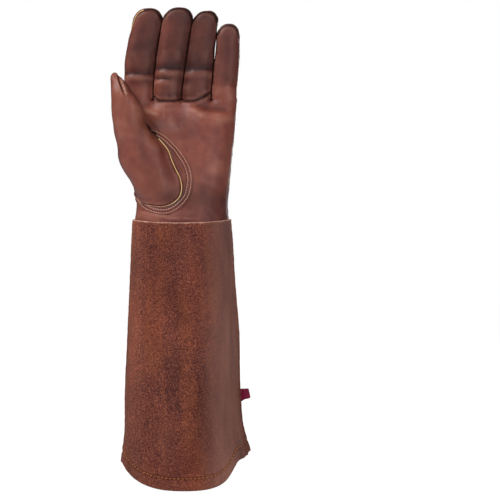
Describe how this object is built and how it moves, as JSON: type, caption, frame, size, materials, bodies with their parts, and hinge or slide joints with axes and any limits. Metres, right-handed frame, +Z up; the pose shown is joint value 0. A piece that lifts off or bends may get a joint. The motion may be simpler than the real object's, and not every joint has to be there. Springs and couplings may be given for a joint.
{
  "type": "rose pruning gauntlet",
  "caption": "Long leather pruning gauntlet for the left hand: fitted fingers, keystone thumb with a palm patch, gathered wrist and a flared suede cuff.",
  "frame": {"origin": "centre of the cuff's mouth, level with the lowest point of the hem", "axes": "+Z up the arm to the finger tips, the palm faces -Y, the thumb is on -X"},
  "size_m": [0.137, 0.0874, 0.4695],
  "materials": {
    "smooth_leather": "soft grain, slight sheen",
    "dark_leather": "soft grain, in the shade between the fingers",
    "suede": "brushed split leather, matt and mottled",
    "piping": "matt golden cord of leather",
    "ribbon": "plain woven ribbon"
  },
  "bodies": {
    "root": {"palm": "smooth_leather", "back": "smooth_leather", "middle_finger_front": "smooth_leather", "ring_finger_front": "smooth_leather", "fourchette_index_middle": "dark_leather", "fourchette_middle_ring": "dark_leather", "fourchette_ring_little": "dark_leather", "thumb": "smooth_leather", "thumb_patch": "smooth_leather", "welt": "piping", "cuff_front": "suede", "cuff_back": "suede", "hem": "suede", "side_tab": "ribbon"}
  },
  "joints": []
}
